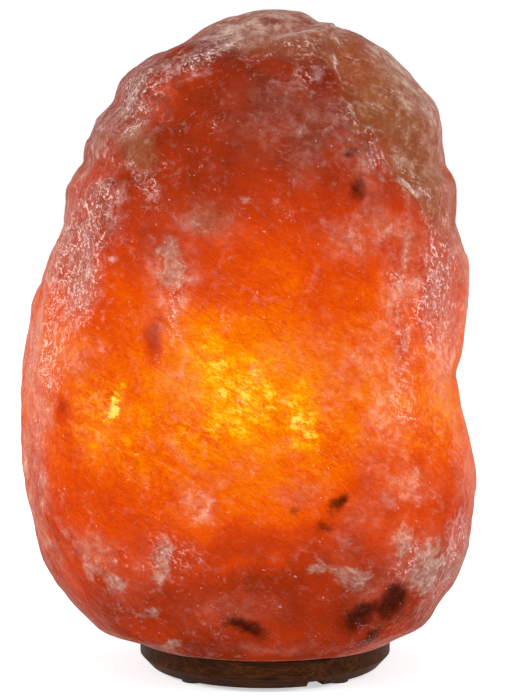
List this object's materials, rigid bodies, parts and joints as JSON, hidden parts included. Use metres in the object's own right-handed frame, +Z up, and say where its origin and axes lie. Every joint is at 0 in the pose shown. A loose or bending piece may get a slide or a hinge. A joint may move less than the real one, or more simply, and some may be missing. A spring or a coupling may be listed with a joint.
{
  "type": "salt crystal lamp",
  "caption": "Glowing hand-hewn rock salt crystal on a turned wood base, with a small bulb in a holder that is clipped in from below.",
  "frame": {"origin": "on the surface the lamp stands on, on the axis of the base, the bore and the bulb", "axes": "+Z up along the bulb's axis, -Y towards the front of the lamp, +Y towards the back, where the cord leaves"},
  "size_m": [0.2095, 0.1725, 0.305],
  "materials": {
    "salt": "translucent pink rock salt, hewn and lit from inside",
    "wood": "dark stained turned wood with a thin satin oil",
    "rubber": "matt black rubber",
    "zinc_steel": "zinc plated steel",
    "nylon": "natural nylon",
    "spring_steel": "tempered spring steel",
    "black_plastic": "moulded black plastic, satin",
    "ceramic_white": "unglazed white porcelain",
    "brass": "plain brass",
    "nickel": "nickel plated brass",
    "solder": "dull solder",
    "dark_glass": "dark insulating glass",
    "bulb_glass": "clear blown glass",
    "tungsten": "glowing tungsten wire"
  },
  "bodies": {
    "lamp": {"salt_crystal": "salt", "wood_base": "wood", "rubber_feet": "rubber", "base_screws": "zinc_steel", "screw_plugs": "nylon"},
    "holder": {"clip_plate": "spring_steel", "plate_screws": "zinc_steel", "holder_cap": "black_plastic", "holder_shell": "black_plastic", "terminal_block": "ceramic_white", "terminal_posts": "brass", "terminal_screws": "zinc_steel", "centre_contact": "brass", "side_contact": "brass", "screw_shell": "brass", "insert_screws": "zinc_steel"},
    "clip_arm_1": {"clip_arm_1": "spring_steel"},
    "clip_arm_2": {"clip_arm_2": "spring_steel"},
    "clip_arm_3": {"clip_arm_3": "spring_steel"},
    "bulb_tip": {"bulb_tip": "solder"},
    "bulb": {"bulb_insulator": "dark_glass", "bulb_cap": "nickel", "bulb_glass": "bulb_glass", "bulb_stem": "bulb_glass", "lead_wires": "nickel", "filament": "tungsten", "filament_supports": "nickel"}
  },
  "joints": [
    {"name": "holder_pull", "type": "slide", "parent": "lamp", "child": "holder", "axis": [0, 0, -1], "range_m": [0, 0.14]},
    {"name": "bulb_lift", "type": "slide", "parent": "holder", "child": "bulb_tip", "axis": [0, 0, 1], "range_m": [0, 0.0115]},
    {"name": "bulb_turn", "type": "hinge", "parent": "bulb_tip", "child": "bulb", "pos_m": [0, 0, 0.05], "axis": [0, 0, 1], "range_deg": [0, 1440]},
    {"name": "arm_1_bend", "type": "hinge", "parent": "holder", "child": "clip_arm_1", "pos_m": [0, -0.0171, 0.007], "axis": [-1, 0, 0], "range_deg": [0, 5], "stiffness_Nm_per_rad": 0.5},
    {"name": "arm_2_bend", "type": "hinge", "parent": "holder", "child": "clip_arm_2", "pos_m": [0.01481, 0.00855, 0.007], "axis": [0.5, -0.866, 0], "range_deg": [0, 5], "stiffness_Nm_per_rad": 0.5},
    {"name": "arm_3_bend", "type": "hinge", "parent": "holder", "child": "clip_arm_3", "pos_m": [-0.01481, 0.00855, 0.007], "axis": [0.5, 0.866, 0], "range_deg": [0, 5], "stiffness_Nm_per_rad": 0.5}
  ],
  "couplings": [
    {"joint": "bulb_lift", "follows": "bulb_turn", "m_per_rad": 0.00044882}
  ]
}
